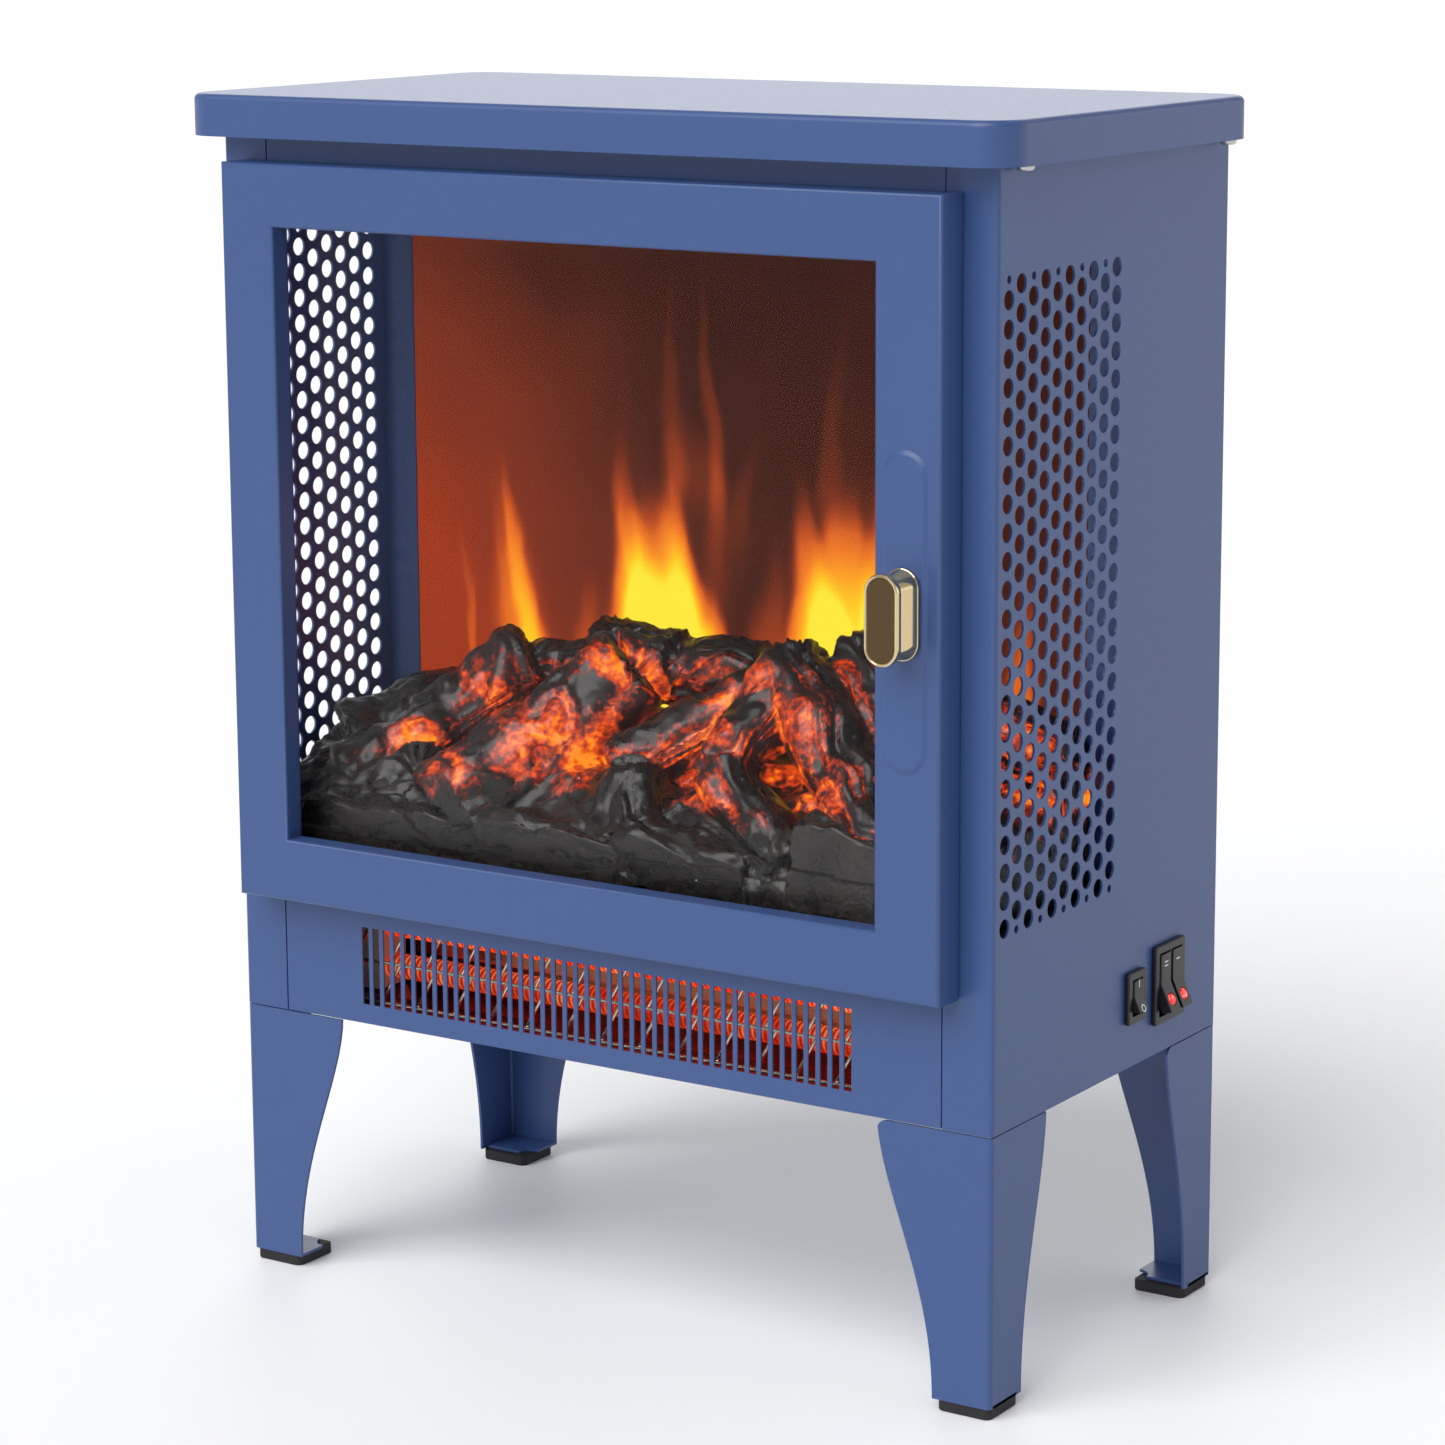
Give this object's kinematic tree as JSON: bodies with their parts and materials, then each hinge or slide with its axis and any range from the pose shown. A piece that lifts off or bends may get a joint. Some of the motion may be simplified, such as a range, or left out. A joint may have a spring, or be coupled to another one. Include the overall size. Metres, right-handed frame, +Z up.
{
  "type": "electric fireplace stove",
  "caption": "Free-standing electric stove heater with a hinged glazed door, lit log bed, flame screen, quartz heater behind front slots and rocker switches.",
  "frame": {"origin": "middle of the object's box in X and Y, on the floor under the feet", "axes": "+Z up, -Y out of the front door, +X to the viewer's right, towards the handle"},
  "size_m": [0.3876, 0.2304, 0.5],
  "materials": {
    "blue_paint": "satin powder coat, blue",
    "dark_paint": "matt dark powder coat",
    "zinc_plate": "zinc plated",
    "blower_steel": "plain pressed steel",
    "copper_mirror": "polished, copper tinted",
    "gold_plate": "polished pale gold plate",
    "clear_glass": "clear tempered",
    "flame_film": "translucent screen, lit from behind",
    "char_resin": "moulded resin painted as charred logs, lit from below",
    "glow_quartz": "quartz tube with a glowing wire coil",
    "ceramic_white": "unglazed",
    "black_plastic": "moulded, satin",
    "red_lens": "clear red, lit",
    "black_rubber": "moulded, matt",
    "circuit_board": "green solder mask",
    "wire_steel": "bright wire"
  },
  "bodies": {
    "cabinet": {"back_panel": "blue_paint", "base_plate": "blue_paint", "blower_housing": "zinc_plate", "blower_motor": "zinc_plate", "chamber_floor": "dark_paint", "control_board": "circuit_board", "cord_gland": "black_plastic", "ember_light_board": "circuit_board", "flame_light_board": "circuit_board", "flame_motor": "zinc_plate", "flame_screen": "flame_film", "foot_pad_back_left": "black_rubber", "foot_pad_back_right": "black_rubber", "foot_pad_front_left": "black_rubber", "foot_pad_front_right": "black_rubber", "front_panel": "blue_paint", "heat_reflector": "copper_mirror", "heat_switch_body": "black_plastic", "hinge_bracket_lower": "zinc_plate", "hinge_bracket_upper": "zinc_plate", "left_side_panel": "blue_paint", "leg_back_left": "blue_paint", "leg_back_right": "blue_paint", "leg_front_left": "blue_paint", "leg_front_right": "blue_paint", "lid_screw_1": "zinc_plate", "lid_screw_2": "zinc_plate", "lid_screw_3": "zinc_plate", "lid_screw_4": "zinc_plate", "log_bed": "char_resin", "magnet_catch": "black_plastic", "power_switch_body": "black_plastic", "quartz_tube_lower": "glow_quartz", "quartz_tube_upper": "glow_quartz", "right_side_panel": "blue_paint", "screen_frame": "blue_paint", "spindle_bearing": "black_plastic", "thermal_cutout": "ceramic_white", "tilt_switch": "black_plastic", "top_lid": "blue_paint", "top_plate": "blue_paint", "tube_holder_left": "ceramic_white", "tube_holder_right": "ceramic_white", "wire_guard": "wire_steel"},
    "door": {"door_frame": "blue_paint", "door_glass": "clear_glass", "door_handle": "gold_plate", "handle_screw": "zinc_plate", "hinge_pin_lower": "zinc_plate", "hinge_pin_upper": "zinc_plate", "glass_retainer_lower": "zinc_plate", "glass_retainer_upper": "zinc_plate", "strike_plate": "zinc_plate"},
    "power_switch": {"power_rocker": "black_plastic"},
    "low_heat_switch": {"heat_rocker_low": "black_plastic", "lamp_lens_low": "red_lens"},
    "high_heat_switch": {"heat_rocker_high": "black_plastic", "lamp_lens_high": "red_lens"},
    "flame_drum": {"flame_spindle": "zinc_plate"},
    "blower_drum": {"blower_impeller": "blower_steel"}
  },
  "joints": [
    {"name": "door_hinge", "type": "hinge", "parent": "cabinet", "child": "door", "pos_m": [-0.167, -0.0928, 0.32], "axis": [0, 0, -1], "range_deg": [0, 100]},
    {"name": "power_rocker_pivot", "type": "hinge", "parent": "cabinet", "child": "power_switch", "pos_m": [0.1825, 0.0336, 0.1435], "axis": [0, 1, 0], "range_deg": [0, 24]},
    {"name": "low_heat_rocker_pivot", "type": "hinge", "parent": "cabinet", "child": "low_heat_switch", "pos_m": [0.1825, 0.05735, 0.1435], "axis": [0, 1, 0], "range_deg": [0, 24]},
    {"name": "high_heat_rocker_pivot", "type": "hinge", "parent": "cabinet", "child": "high_heat_switch", "pos_m": [0.1825, 0.06745, 0.1435], "axis": [0, 1, 0], "range_deg": [0, 24]},
    {"name": "flame_drum_spin", "type": "hinge", "parent": "cabinet", "child": "flame_drum", "pos_m": [0, 0.0592, 0.268], "axis": [1, 0, 0], "continuous": true},
    {"name": "blower_spin", "type": "hinge", "parent": "cabinet", "child": "blower_drum", "pos_m": [-0.02, 0.0032, 0.15], "axis": [1, 0, 0], "continuous": true}
  ]
}
